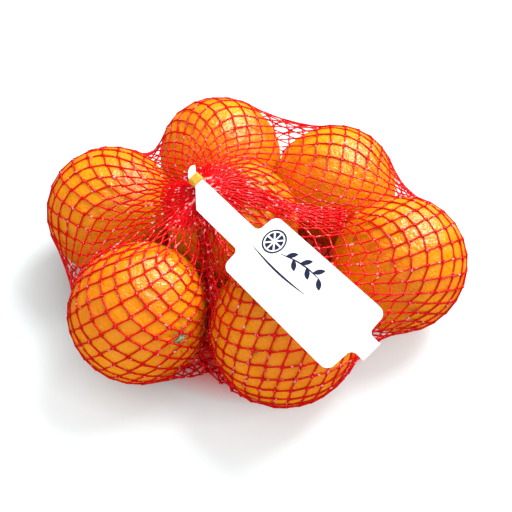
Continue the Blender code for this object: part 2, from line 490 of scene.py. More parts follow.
@dataclass(frozen=True)
class BrassFinish:
    """Golden clip metal with fine brush lines and small scuffs."""

    gold: Triple = (0.94, 0.51, 0.04)
    pale: Triple = (1.0, 0.75, 0.24)

    def made(self) -> bpy.types.Material:
        """Builds the metal.

        Returns:
            The material.
        """
        look = Looks("gold_metal")
        scuffs = look.noise(1100.0, 5.0, 0.7)
        colour = look.mixed(look.span(scuffs, 0.5, 0.75, 0.0, 1.0), self.gold, self.pale)
        look.dress({"Base Color": colour, "Roughness": look.span(scuffs, 0.3, 0.7, 0.24, 0.42)})
        look.dress({"Normal": look.relief(look.noise(2600.0, 2.0), 0.02 * MM), "Metallic": 0.35})
        return look.material


@dataclass(frozen=True)
class StemFinish:
    """Dry grey-green calyx, with near-black patches of painted shade for its shadowed folds, placed by a
    noise.
    """

    green: Triple = (0.26, 0.27, 0.12)
    grey: Triple = (0.55, 0.52, 0.38)
    # Painted shade: near-black colour that stands in for shadow in the calyx's folds.
    dark: Triple = (0.05, 0.04, 0.02)

    def made(self) -> bpy.types.Material:
        """Builds the dry stem.

        Returns:
            The material.
        """
        look = Looks("dry_stem")
        mottle = look.noise(700.0, 5.0, 0.65)
        # The dark end of the ramp is painted shade, scattered by the noise rather than set in the folds.
        colour = look.ramp(mottle, [(0.38, self.dark), (0.48, self.green), (0.60, self.grey)])
        look.dress({"Base Color": colour, "Roughness": look.span(mottle, 0.3, 0.7, 0.65, 0.85)})
        look.dress({"Normal": look.relief(look.noise(2400.0, 4.0), 0.25 * MM)})
        return look.material


@dataclass(frozen=True)
class PaperFloor:
    """The seamless white floor, with painted light: dark red painted shade and a painted red glow under the
    net, a white glow beyond a soft painted shadow, and dark in reflections.
    """

    white: Triple = (0.454, 0.503, 0.511)
    # Painted shade: the floor is dark red under the net, out to between under_reach and clear_reach, and
    # glows red there with painted light.
    under: Triple = (0.70, 0.060, 0.035)
    painted_red_glow: float = 0.28
    under_reach: float = 0.060
    clear_reach: float = 0.084
    # Painted light: the floor glows white except inside a soft painted shadow, which fades out between
    # dark_reach and lit_reach from shade_centre.
    painted_glow: float = 0.45
    shade_centre: Triple = (-0.035, 0.026, 0.0)
    dark_reach: float = 0.064
    lit_reach: float = 0.125
    in_reflections: Triple = (0.02, 0.02, 0.02)

    def made(self) -> bpy.types.Material:
        """Builds the floor's finish.

        Returns:
            The material.
        """
        look = Looks("studio_floor")
        within = look.node("ShaderNodeVectorMath", operation="LENGTH")
        look.feed(within.inputs[0], look.place)
        reach = within.outputs["Value"]
        # Share of the painted red shade and painted red glow under the net.
        under = look.span(reach, self.under_reach, self.clear_reach, 1.0, 0.0)
        away = look.node("ShaderNodeVectorMath", operation="DISTANCE")
        look.feed(away.inputs[0], look.place)
        look.feed(away.inputs[1], self.shade_centre)
        # Painted glow, none inside the painted shadow round shade_centre.
        painted_glow = look.span(away.outputs["Value"], self.dark_reach, self.lit_reach, 0.0, self.painted_glow)
        clear = look.span(reach, self.under_reach, self.clear_reach, 0.0, 1.0)
        painted_red_glow_amount = look.span(reach, self.under_reach, self.clear_reach, self.painted_red_glow, 0.0)
        # The base colour holds the painted red shade; the emission is painted light, red under the net and
        # white beyond the painted shadow.
        look.dress({
            "Base Color": look.mixed(under, self.white, self.under),
            "Roughness": 0.9,
            "Specular IOR Level": 0.1,
            "Emission Color": look.mixed(under, (1.0, 1.0, 1.0), self.under),
            "Emission Strength": look.sum(look.sum(painted_glow, clear, "MULTIPLY"), painted_red_glow_amount),
        })
        rays = look.node("ShaderNodeLightPath")
        dark = look.node("ShaderNodeBsdfDiffuse")
        look.feed(dark.inputs["Color"], self.in_reflections)
        mix = look.node("ShaderNodeMixShader")
        look.feed(mix.inputs[0], rays.outputs["Is Glossy Ray"])
        look.tree.links.new(look.surface.outputs[0], mix.inputs[1])
        look.tree.links.new(dark.outputs[0], mix.inputs[2])
        look.tree.links.new(mix.outputs[0], look.tree.nodes["Material Output"].inputs["Surface"])
        return look.material


class End(Enum):
    """The two ends of an orange."""

    STEM = 1.0
    TIP = -1.0


@dataclass
class Orange:
    """One orange: where it lies, its size, which way its stem looks and how uneven it is."""

    name: str
    x: float
    y: float
    radius: float
    stem: Triple
    seed: int
    tone: float = 0.0
    lift: float = 0.0
    flatness: float = 0.035
    broad_lumps: float = 0.55
    small_lumps: float = 0.10
    pores: float = 0.05
    dimple: float = 1.7
    dimple_width: float = 0.17
    crease_depth: float = 0.45
    tip_depth: float = 0.8
    tip_width: float = 0.07
    net_room: float = 0.2
    calyx_long: Triple = (0.3, 0.5, 0.8)
    calyx_narrow: float = 0.85

    BROAD = 7
    SMALL = 14
    PORES = 36
    DETAIL = 7
    CALYX_SIDES = 30
    CALYX_RINGS = (
        (0.0, 1.5), (0.7, 1.5), (1.0, 1.0), (1.2, 0.55), (1.9, 0.75),
        (2.7, 0.45), (3.1, 0.05), (2.6, -0.7), (0.0, -0.9),
    )

    def __post_init__(self) -> None:
        """Draws the waves that make its unevenness."""
        draw = np.random.default_rng(self.seed)
        self.stem_way = unit(np.array(self.stem, float))
        self.waves = []
        for count, low, high, size in (
            (self.BROAD, 1.5, 4.0, self.broad_lumps / math.sqrt(self.BROAD)),
            (self.SMALL, 9.0, 22.0, self.small_lumps / math.sqrt(self.SMALL) * 1.4),
            (self.PORES, 95.0, 150.0, self.pores / math.sqrt(self.PORES) * 1.4),
        ):
            ways = unit(draw.normal(size=(count, 3))) * draw.uniform(low, high, (count, 1))
            phases = draw.uniform(0.0, FULL_TURN, count)
            self.waves.append((ways, phases, size * draw.uniform(0.6, 1.4, count)))

    @property
    def centre(self) -> np.ndarray:
        """Where its middle is."""
        return np.array([self.x, self.y, self.radius + self.net_room + self.lift])

    def form(self, ways: np.ndarray, sets: int) -> np.ndarray:
        """Its radius in the given directions.

        Args:
            ways: Unit directions from its middle.
            sets: How many sets of waves to use, from broad to fine.

        Returns:
            The radius in each direction.
        """
        along = ways @ self.stem_way
        radius = self.radius * (1.0 + self.flatness * (0.35 - along * along))
        for directions, phases, sizes in self.waves[:sets]:
            radius = radius + np.cos(ways @ directions.T + phases) @ sizes
        return radius

    def ends(self, ways: np.ndarray) -> np.ndarray:
        """How much its two ends are dimpled in.

        Args:
            ways: Unit directions from its middle.

        Returns:
            The depth in each direction.
        """
        angle = np.arccos(np.clip(ways @ self.stem_way, -1.0, 1.0))
        side = np.cross(self.stem_way, [0.3, 0.5, 0.8])
        across = np.cross(self.stem_way, side)
        turn = np.arctan2(ways @ across, ways @ side)
        waves = self.crease_depth * np.cos(9.0 * turn + np.cos(2.0 * turn))
        creases = waves * np.exp(-((angle - 0.2) / 0.12) ** 2)
        stem = self.dimple * np.exp(-((angle / self.dimple_width) ** 2)) + creases
        tip = self.tip_depth * np.exp(-(((math.pi - angle) / self.tip_width) ** 2))
        return stem + tip

    def skin(self) -> bpy.types.Object:
        """Its peel.

        Returns:
            The closed mesh, with the distances from stem and tip stored on it.
        """
        work = bmesh.new()
        bmesh.ops.create_icosphere(work, subdivisions=self.DETAIL, radius=1.0)
        mesh = bpy.data.meshes.new(f"orange_{self.name}")
        work.to_mesh(mesh)
        work.free()
        ways = np.empty(len(mesh.vertices) * 3)
        mesh.vertices.foreach_get("co", ways)
        ways = unit(ways.reshape(-1, 3))
        radius = self.form(ways, 3) - self.ends(ways)
        points = self.centre + ways * radius[:, None]
        points[:, 2] = np.maximum(points[:, 2], Net.THREAD * 0.6)
        mesh.vertices.foreach_set("co", (points * MM).reshape(-1))
        mesh.shade_smooth()
        thing = linked(mesh.name, mesh)
        for end, attribute in ((End.STEM, "from_stem"), (End.TIP, "from_tip")):
            angle = np.arccos(np.clip(ways @ self.stem_way * end.value, -1.0, 1.0))
            write_values(thing.data, attribute, angle * self.radius)
        write_values(thing.data, "tone", np.full(len(points), self.tone))
        return thing

    def calyx(self) -> bpy.types.Object:
        """The dry stem button in its dimple: five short lobes and a broken stub.

        Returns:
            The closed mesh.
        """
        draw = np.random.default_rng(self.seed + 50)
        rings, count = self.CALYX_RINGS, self.CALYX_SIDES
        across = unit(np.cross(self.stem_way, self.calyx_long))
        side = np.cross(across, self.stem_way)
        floor = self.radius * (1.0 - 0.65 * self.flatness) - self.dimple + 0.25
        points = []
        for reach, height in rings[1:-1]:
            for step in range(count):
                turn = FULL_TURN * step / count
                lobe = 0.22 * math.cos(5.0 * turn) + 0.06 * draw.normal()
                lobe = 1.0 + lobe * smooth_step(reach, 1.0, 2.6)
                rise = height + 0.12 * draw.normal() * (height > 0.3)
                flat = side * math.cos(turn) * 1.15 + across * math.sin(turn) * self.calyx_narrow
                points.append(self.centre + self.stem_way * (floor + rise) + flat * reach * lobe)
        for _, height in (rings[0], rings[-1]):
            points.append(self.centre + self.stem_way * (floor + height))
        faces = []
        rows = len(rings) - 2
        for row in range(rows - 1):
            for step in range(count):
                after = (step + 1) % count
                here, there = row * count, (row + 1) * count
                faces.append((here + step, here + after, there + after, there + step))
        for step in range(count):
            after = (step + 1) % count
            faces.append((step, after, rows * count))
            faces.append(((rows - 1) * count + step, (rows - 1) * count + after, rows * count + 1))
        return made_mesh(f"stem_{self.name}", np.array(points), faces)


ORANGES = (
    Orange("left", -81.7, 26.5, 37.9, (-0.35, 0.55, -0.75), 11, 0.10),
    Orange("back_left", -19.2, 79.2, 37.8, (0.1, 0.9, 0.45), 12, 0.12),
    Orange("back_right", 51.7, 51.1, 36.9, (0.6, 0.75, 0.1), 13, 0.18),
    Orange("right", 82.6, -16.0, 37.1, (0.75, 0.1, -0.65), 14, 0.05),
    Orange(
        "front_left", -57.8, -50.2, 36.8, (0.661, -0.712, 0.238), 15, 0.05,
        calyx_long=(0.82, 0.41, 0.40), calyx_narrow=0.52,
    ),
    Orange("front_right", 17.6, -63.8, 38.3, (0.416, 0.765, -0.492), 16, -0.12),
    Orange("middle", -10.5, 5.5, 37.2, (0.2, 0.3, -0.93), 17, -0.10, lift=11.0),
)


@dataclass
class Closure:
    """Where the clip sits, and the directions along the label, across it and out of its face."""

    centre: Triple = (-28.0, -2.4, 87.0)
    axis: Triple = (0.593, -0.805, 0.013)
    looks_to: Triple = (-0.36, -0.25, 0.899)
    strap_lift: float = 1.2
    bend_start: float = 6.0
    bend_end: float = 42.0
    bend_drop: float = 2.9
    plate_end: float = 139.5
    plate_centre: float = -4.0
    plate_half: float = 18.5

    def __post_init__(self) -> None:
        """Squares the directions up."""
        self.middle = np.array(self.centre)
        self.face = unit(np.array(self.looks_to))
        along = np.array(self.axis)
        self.along = unit(along - self.face * (along @ self.face))
        self.across = np.cross(self.face, self.along)

    def at(self, reach: np.ndarray, side: np.ndarray, height: np.ndarray) -> np.ndarray:
        """Turns places on the label into places in space.

        Args:
            reach: Distances along the label.
            side: Distances across it.
            height: Distances out of it.

        Returns:
            One point in each row.
        """
        reach, side, height = (np.asarray(v, float)[..., None] for v in (reach, side, height))
        return self.middle + reach * self.along + side * self.across + height * self.face

    def card_height(self, reach: np.ndarray) -> np.ndarray:
        """Height of the card's middle over the clip's centre line.

        Args:
            reach: Distances along the label.

        Returns:
            The height at each.
        """
        return self.strap_lift - self.bend_drop * smooth_step(reach, self.bend_start, self.bend_end)


@dataclass
class Net:
    """The knitted net: knots in rows from the neck to the pucker, joined by threads of one length."""

    closure: Closure
    oranges: tuple[Orange, ...]
    rows: int = 45
    knots: int = 58
    thread_length: float = 7.7
    uneven_length: float = 0.06
    hoop_share: float = 0.2
    hang: float = 0.15
    hang_start: int = 17
    hang_end: int = 27
    web_changes: tuple[tuple[float, float], ...] = (
        (185.0, 0.45),
        (130.0, 0.2),
        (76.0, 0.25),
        (250.0, -0.1),
        (330.0, -0.15),
    )
    web_spread: float = 24.0
    web_pushes: tuple[Triple, ...] = ((188.0, 12.0, 0.02), (247.0, 12.0, -0.012), (76.0, 10.0, 0.02))
    steps: int = 3000
    quick_steps: int = 2000
    settling_steps: int = 260
    slack_stiffness: float = 0.25
    evenness: float = 0.035
    flattest: float = 0.45
    path_steps: int = 4
    weight: float = 0.012
    seed: int = 7
    pleats: tuple[tuple[float, float, float, float], ...] = (
        (2.0, 0.80, 25.0, 20.0),
        (165.0, 0.30, 22.0, 13.0),
        (252.0, 0.15, 20.0, 12.0),
        (92.0, 0.20, 18.0, 11.0),
    )
    crumple: float = 0.09
    crumple_rise: float = 0.6
    crumple_fades: tuple[float, float] = (7.0, 12.0)
    pucker: Triple = (37.1, -9.6, 8.0)
    pucker_radius: float = 2.0
    meeting: float = 0.35
    parting: float = 0.22
    neck: tuple[tuple[float, float, float, float], ...] = (
        (-8.6, 0.5, 4.0, 1.3),
        (-3.3, 0.5, 2.4, 1.05),
        (3.3, 0.5, 2.4, 1.05),
        (5.0, 1.7, 2.8, 1.3),
    )
    floor_room: float = 0.12
    fold_depth: float = 0.5
    fold_rows: tuple[int, int] = (3, 6)
    pleat_rows: tuple[int, int] = (6, 14)
    pleat_middle: float = 0.0
    pleat_half: float = 17.0
    crowding: float = 0.36

    THREAD = 0.47
    FINEST = 0.18
    FIXED = 4
    HALF_WIDTH = 150.0
    HALF_DEPTH = 145.0
    MIDDLE_Z = 40.0
    HALF_HEIGHT = 60.0
    CLIP_REACH = 5.8
    CLIP_SIDE = 7.0
    CLIP_ROOM = 3.4
    TIP_REACH = 9.5
    CARD_ROOM = 1.1
    FRUIT_MARGIN = 4.0
    BEAD = (1.3, 1.15, 1.0)
    BANDS = (("net_crown", 0, 11), ("net_shoulder", 11, 21), ("net_side", 21, 32), ("net_base", 32, 44))

    def angles(self, row: int) -> np.ndarray:
        """Angles of a row's knots, every second row turned by half a knot.

        Args:
            row: The row.

        Returns:
            The angles.
        """
        return FULL_TURN * (np.arange(self.knots) + 0.5 * (row % 2)) / self.knots

    def neck_row(
        self, row: int, reach: float, drop: float, half_width: float, half_height: float
    ) -> np.ndarray:
        """A flat oval of knots round the neck.

        Args:
            row: The row.
            reach: How far in front of the clip's centre.
            drop: How far below it.
            half_width: Half its width.
            half_height: Half its height.

        Returns:
            The row's knots.
        """
        close = self.closure
        angles = self.angles(row)
        forward = np.cos(angles) * close.along[0] + np.sin(angles) * close.along[1]
        sideways = np.cos(angles) * close.across[0] + np.sin(angles) * close.across[1]
        size = np.hypot(forward, sideways)
        side, height = sideways / size * half_width, forward / size * half_height - drop
        return close.at(np.full(self.knots, reach), side, height)

    def loose(self) -> np.ndarray:
        """The net before it is drawn tight: a wide bag from the neck to the pucker.

        Returns:
            Knots in rows.
        """
        knots = np.zeros((self.rows, self.knots, 3))
        top = self.closure.middle - (0.0, 0.0, self.MIDDLE_Z + self.HALF_HEIGHT)
        bottom = np.array(self.pucker) - (0.0, 0.0, self.MIDDLE_Z - self.HALF_HEIGHT)
        for row in range(self.rows):
            turn = math.pi * row / (self.rows - 1)
            angles = self.angles(row)
            knots[row, :, 0] = self.HALF_WIDTH * math.sin(turn) * np.cos(angles)
            knots[row, :, 1] = self.HALF_DEPTH * math.sin(turn) * np.sin(angles)
            knots[row, :, 2] = self.MIDDLE_Z + self.HALF_HEIGHT * math.cos(turn)
            knots[row] += top * math.cos(turn / 2) ** 6 + bottom * math.sin(turn / 2) ** 6
        for row, sizes in enumerate(self.neck):
            knots[row] = self.neck_row(row, *sizes)
        angles = self.angles(self.rows - 1)
        ring = np.stack([np.cos(angles), np.sin(angles), 0.0 * angles], axis=1)
        knots[-1] = np.array(self.pucker) + ring * self.pucker_radius
        return knots

    def links(self) -> np.ndarray:
        """For every knot, the four knots that its threads run to.

        Returns:
            Knot numbers, four in each row.
        """
        row, knot = np.meshgrid(np.arange(self.rows), np.arange(self.knots), indexing="ij")
        left = (knot + row % 2 - 1) % self.knots
        right = (knot + row % 2) % self.knots
        above = np.maximum(row - 1, 0) * self.knots
        below = np.minimum(row + 1, self.rows - 1) * self.knots
        return np.stack([above + left, above + right, below + left, below + right], axis=-1).reshape(-1, 4)

    def beside(self, knots: np.ndarray) -> np.ndarray:
        """The middle between a knot's two neighbours in its row.

        Args:
            knots: Knots in one list.

        Returns:
            A point for each knot.
        """
        rows = knots.reshape(self.rows, self.knots, 3)
        return ((np.roll(rows, 1, axis=1) + np.roll(rows, -1, axis=1)) / 2).reshape(-1, 3)

    def hoop_shares(self) -> np.ndarray:
        """How much each knot is drawn along its row: more in a taut web, less in a slack one.

        Returns:
            The shares, one to a knot.
        """
        shares = np.full((self.rows, self.knots), self.hoop_share)
        for row in range(self.rows):
            degrees = np.degrees(self.angles(row))
            for middle, change in self.web_changes:
                away = turned_from(degrees, middle)
                shares[row] += change * np.exp(-((away / self.web_spread) ** 2))
        return shares.reshape(-1, 1)

    def pushed(self, knots: np.ndarray) -> np.ndarray:
        """Moves the webs between oranges a step out or in, where the net stands straighter or dips.

        Args:
            knots: Knots in one list.

        Returns:
            The knots, moved.
        """
        degrees = np.degrees(np.arctan2(knots[:, 1], knots[:, 0]))
        reach = np.hypot(knots[:, 0], knots[:, 1])
        push = np.zeros(len(knots))
        for middle, spread, change in self.web_pushes:
            away = turned_from(degrees, middle)
            push += change * np.exp(-((away / spread) ** 2))
        push *= smooth_step(reach, 40.0, 60.0)
        moved = knots.copy()
        moved[:, :2] += knots[:, :2] / reach[:, None] * push[:, None]
        return moved

    def outside_fruit(self, knots: np.ndarray) -> np.ndarray:
        """Pushes knots out of the oranges and off the floor.

        Args:
            knots: Knots in one list.

        Returns:
            The knots, moved.
        """
        stand_off = self.THREAD * 1.2
        for orange in self.oranges:
            away = knots - orange.centre
            distance = np.linalg.norm(away, axis=1)
            near = np.flatnonzero(distance < orange.radius + self.FRUIT_MARGIN)
            ways = away[near] / distance[near, None]
            reach = orange.form(ways, 1) + stand_off
            inside = distance[near] < reach
            knots[near[inside]] = orange.centre + ways[inside] * reach[inside, None]
        knots[:, 2] = np.maximum(knots[:, 2], self.THREAD)
        return knots

    def under_label(self, knots: np.ndarray) -> np.ndarray:
        """Pushes knots down where they would meet the label or the clip.

        Args:
            knots: Knots in one list.

        Returns:
            The knots, moved.
        """
        close = self.closure
        away = knots - close.middle
        reach, side, height = away @ close.along, away @ close.across, away @ close.face
        by_clip = (np.abs(reach) < self.CLIP_REACH) & (np.abs(side) < self.CLIP_SIDE)
        by_label = (reach > -self.TIP_REACH) & (reach < close.plate_end)
        by_label &= np.abs(side - close.plate_centre) < close.plate_half
        ceiling = np.where(by_label, close.card_height(reach) - self.CARD_ROOM, np.inf)
        ceiling = np.where(by_clip, -self.CLIP_ROOM, ceiling)
        return knots - np.maximum(height - ceiling, 0.0)[:, None] * close.face

    def drawn(self) -> np.ndarray:
        """Draws the loose net tight over the oranges, at one length of thread.

        Returns:
            Knots in rows.
        """
        draw = np.random.default_rng(self.seed)
        knots = self.loose().reshape(-1, 3)
        links = self.links()
        uneven = draw.normal(size=len(knots)) * self.uneven_length
        length = self.thread_length * (1.0 + (uneven[:, None] + uneven[links]) / 2)
        held = np.zeros((self.rows, self.knots), bool)
        held[: self.FIXED] = True
        held[-1] = True
        held = held.reshape(-1)
        kept = knots[held].copy()
        hoops = self.hoop_shares()
        hung = 1.0 - smooth_step(np.arange(self.rows), self.hang_start, self.hang_end)
        hang = np.repeat(self.hang * hung, self.knots)
        for _ in range(self.steps):
            knots = self.pushed(knots)
            reach = knots[links] - knots[:, None]
            size = np.linalg.norm(reach, axis=2, keepdims=True) + 1e-6
            pulled = (reach * size).sum(axis=1) / size.sum(axis=1)
            beside = self.beside(knots) - knots
            moved = knots + 0.5 * (pulled * (1.0 - hoops) + beside * hoops)
            moved[:, 2] -= hang
            knots = self.outside_fruit(self.under_label(moved))
            knots[held] = kept
        knots = self.respaced(knots.reshape(self.rows, self.knots, 3)).reshape(-1, 3)
        for _ in range(self.settling_steps):
            knots = self.pushed(knots)
            reach = knots[links] - knots[:, None]
            size = np.linalg.norm(reach, axis=2) + 1e-6
            stretch = (size - length) / size
            pull = np.where(stretch > 0.0, 0.5, self.slack_stiffness) * stretch
            moved = knots + 0.8 * (pull[..., None] * reach).mean(axis=1) + self.evenness * reach.mean(axis=1)
            moved[:, 2] -= self.weight
            knots = self.outside_fruit(self.under_label(moved))
            knots[held] = kept
        knots = self.gathered(knots.reshape(self.rows, self.knots, 3))
        knots = self.crumpled(knots, draw)
        return self.outside_fruit(self.under_label(knots.reshape(-1, 3))).reshape(self.rows, self.knots, 3)

    def across_row(self, knots: np.ndarray, row: int, column: float) -> np.ndarray:
        """Points of a row, moved round it by a share of a knot.

        Args:
            knots: Knots in rows.
            row: The row.
            column: How far the points are round from knot 0 to knot 0 of an even row.

        Returns:
            One point for each knot.
        """
        shift = column - 0.5 * (row % 2)
        whole = math.floor(shift)
        here, there = np.roll(knots[row], -whole, axis=0), np.roll(knots[row], -whole - 1, axis=0)
        return here + (there - here) * (shift - whole)

    def respaced(self, knots: np.ndarray) -> np.ndarray:
        """Slides the rows along their columns until the threads have one length.

        The cells come out long and narrow at the neck, and wide lower down.

        Args:
            knots: Knots in rows.

        Returns:
            Knots in rows.
        """
        made = knots.copy()
        every = np.arange(self.rows)
        flattest = (self.flattest * self.thread_length) ** 2
        fine = np.linspace(self.FIXED - 1, self.rows - 1, (self.rows - self.FIXED) * self.path_steps + 1)
        for half in (0, 1):
            middle = np.array([self.across_row(knots, row, half / 2) for row in range(self.rows)])
            side = np.array([self.across_row(knots, row, half / 2 - 0.5) for row in range(self.rows)])
            width = np.linalg.norm(np.roll(side, -1, axis=1) - side, axis=2)
            for column in range(self.knots):
                path = np.stack([np.interp(fine, every, middle[:, column, k]) for k in range(3)], axis=1)
                wide = np.interp(fine, every, width[:, column])
                height = np.sqrt(np.maximum(self.thread_length**2 - wide**2 / 4, flattest))
                steps = np.linalg.norm(np.diff(path, axis=0), axis=1) / ((height[1:] + height[:-1]) / 2)
                count = np.concatenate([[0.0], np.cumsum(steps)])
                count = self.FIXED - 1 + count * (self.rows - self.FIXED) / count[-1]
                rows = np.array([row for row in range(self.FIXED, self.rows - 1) if row % 2 == half])
                for k in range(3):
                    made[rows, column, k] = np.interp(rows, count, path[:, k])
        return made

    def gathered(self, knots: np.ndarray) -> np.ndarray:
        """Slides knots along their rows into pleats that run out from the neck.

        Args:
            knots: Knots in rows.

        Returns:
            Knots in rows.
        """
        made = knots.copy()
        for row in range(self.FIXED, self.rows):
            degrees = np.degrees(self.angles(row))
            moved = np.arange(self.knots, dtype=float)
            for middle, strength, spread, last in self.pleats:
                away = turned_from(degrees, middle)
                fade = 1.0 - smooth_step(np.array(float(row)), last * 0.5, last)
                rise = smooth_step(np.array(float(row)), self.FIXED, self.FIXED + 4)
                columns = away / 360.0 * self.knots
                moved -= columns * strength * fade * rise * np.exp(-((away / spread) ** 2))
            below = np.floor(moved).astype(int)
            share = (moved - below)[:, None]
            here, there = knots[row, below % self.knots], knots[row, (below + 1) % self.knots]
            made[row] = here * (1.0 - share) + there * share
        return made

    def crumpled(self, knots: np.ndarray, draw: np.random.Generator) -> np.ndarray:
        """Shakes the slack rows near the neck, so that their cells are uneven.

        Args:
            knots: Knots in rows.
            draw: The source of chance.

        Returns:
            Knots in rows.
        """
        out, _ = self.facing(knots)
        width = np.linalg.norm(np.roll(knots, -1, axis=1) - knots, axis=2, keepdims=True)
        rows = np.arange(self.rows, dtype=float)
        slack = smooth_step(rows, self.FIXED, self.FIXED + 5) * (1.0 - smooth_step(rows, *self.crumple_fades))
        shake = draw.normal(size=knots.shape) * np.minimum(width, 7.0) * self.crumple
        rise = np.abs(draw.normal(size=knots.shape[:2])) * self.crumple_rise
        return knots + (shake + out * rise[..., None]) * slack[:, None, None]

    def facing(self, knots: np.ndarray) -> tuple[np.ndarray, np.ndarray]:
        """The net's outward direction and its way down from the neck, at every knot.

        Args:
            knots: Knots in rows.

        Returns:
            Outward directions, and downward ones.
        """
        flat = knots.reshape(-1, 3)
        links = self.links()
        down = flat[links[:, 2]] + flat[links[:, 3]] - flat[links[:, 0]] - flat[links[:, 1]]
        round_way = flat[links[:, 1]] + flat[links[:, 3]] - flat[links[:, 0]] - flat[links[:, 2]]
        out = unit(np.cross(down, round_way))
        down = unit(down - out * (down * out).sum(axis=1, keepdims=True))
        return out.reshape(knots.shape), down.reshape(knots.shape)

    def folded_under(self, knots: np.ndarray) -> np.ndarray:
        """The fold of net under the gathers: the same rows, half a knot on and a little lower.

        Args:
            knots: Knots in rows.

        Returns:
            Knots in rows.
        """
        out, _ = self.facing(knots)
        return (knots + np.roll(knots, 1, axis=1)) / 2 - out * self.fold_depth

    def thickness(self, knots: np.ndarray) -> np.ndarray:
        """Half a thread's width at every knot, pressed finer where the net is gathered.

        Args:
            knots: Knots in rows.

        Returns:
            The half widths.
        """
        width = np.linalg.norm(np.roll(knots, -1, axis=1) - knots, axis=2)
        return np.clip(width * self.crowding, self.FINEST, self.THREAD)

    def pleat_columns(self) -> list[int]:
        """The columns of knots that lie in the thick pleat between the neck and the pinch."""
        degrees = np.degrees(self.angles(0))
        away = np.abs(turned_from(degrees, self.pleat_middle))
        return [int(n) for n in np.flatnonzero(away < self.pleat_half)]

    def strands(
        self, knots: np.ndarray, first: int, last: int, columns: list[int]
    ) -> tuple[np.ndarray, np.ndarray, list[tuple[int, int]]]:
        """Runs two zigzag strands through columns of knots, side by side where they meet.

        Args:
            knots: Knots in rows.
            first: The first row.
            last: The last row.
            columns: The columns.

        Returns:
            Points, half widths at them, and the edges that join them.
        """
        out, down = self.facing(knots)
        side = np.cross(out, down)
        half = self.thickness(knots)
        draw = np.random.default_rng(self.seed + first)
        points, widths, edges = [], [], []
        for strand in (1, -1):
            for column in columns:
                start = len(points)
                for row in range(first, last + 1):
                    even = row % 2 == 0
                    knot = column if (strand == 1 or even) else (column - 1) % self.knots
                    lean = strand if even else -strand
                    size = half[row, knot]
                    gap = self.parting * 2.0 * size
                    place = knots[row, knot] - side[row, knot] * lean * gap
                    place = place + out[row, knot] * draw.normal() * 0.12 * size
                    meet = min(self.meeting, size * 2.4)
                    points.append(place - down[row, knot] * meet)
                    points.append(place + down[row, knot] * meet)
                    width = size * (1.0 + 0.08 * draw.normal())
                    widths += [width, width]
                edges += [(n, n + 1) for n in range(start, len(points) - 1)]
        points, widths = np.array(points), np.array(widths)
        points[:, 2] = np.maximum(points[:, 2], widths + self.floor_room)
        return points, widths, edges

    def band(
        self,
        knots: np.ndarray,
        name: str,
        first: int,
        last: int,
        finish: bpy.types.Material,
        columns: list[int] | None = None,
    ) -> bpy.types.Object:
        """One band of the net's threads, as tubes along their strands.

        Args:
            knots: Knots in rows.
            name: The piece's name.
            first: The band's first row.
            last: The band's last row.
            finish: The thread's material.
            columns: The columns of knots to take, or all of them.

        Returns:
            The finished piece.
        """
        points, widths, edges = self.strands(knots, first, last, columns or list(range(self.knots)))
        mesh = bpy.data.meshes.new(name)
        mesh.from_pydata([tuple(p) for p in points * MM], edges, [])
        write_values(mesh, "half_width", widths * MM)
        return grown(linked(name, mesh), StrandNodes(finish).tree(), {"Sides": 6, "Smoothing": 2})

    def knot_beads(self, knots: np.ndarray, finish: bpy.types.Material) -> bpy.types.Object:
        """The knitted knots that bind two strands where they meet.

        Args:
            knots: Knots in rows.
            finish: The thread's material.

        Returns:
            The finished piece.
        """
        out, down = self.facing(knots)
        half = self.thickness(knots)
        rows = slice(self.FIXED, self.rows - 1)
        places = knots[rows].reshape(-1, 3)
        size = half[rows].reshape(-1)
        places[:, 2] = np.maximum(places[:, 2], size * max(self.BEAD) + self.floor_room)
        mesh = bpy.data.meshes.new("net_knots")
        mesh.from_pydata([tuple(p) for p in places * MM], [], [])
        write_values(mesh, "out_way", out[rows])
        write_values(mesh, "down_way", down[rows])
        write_values(mesh, "bead_size", np.stack([size * share for share in self.BEAD], axis=1) * MM)
        return grown(linked("net_knots", mesh), BeadNodes(finish).tree(), {"Segments": 7, "Rings": 5})


def grown(guide: bpy.types.Object, tree: bpy.types.NodeTree, sizes: dict[str, object]) -> bpy.types.Object:
    """Runs a node tree on a guide and keeps a plain mesh, pressed flat where it meets the floor.

    Args:
        guide: The object that the tree reads.
        tree: The tree.
        sizes: Values for its named inputs.

    Returns:
        The guide, now holding the plain mesh and no modifier.
    """
    modifier = guide.modifiers.new("growth", "NODES")
    modifier.node_group = tree
    for item in tree.interface.items_tree:
        if item.item_type == "SOCKET" and item.in_out == "INPUT" and item.name in sizes:
            modifier[item.identifier] = sizes[item.name]
    bpy.context.view_layer.update()
    seen = guide.evaluated_get(bpy.context.evaluated_depsgraph_get())
    mesh = bpy.data.meshes.new_from_object(seen)
    guide.modifiers.remove(modifier)
    corners = np.empty(len(mesh.vertices) * 3)
    mesh.vertices.foreach_get("co", corners)
    corners[2::3] = np.maximum(corners[2::3], 0.0)
    mesh.vertices.foreach_set("co", corners)
    guide.data = mesh
    mesh.name = guide.name
    return guide


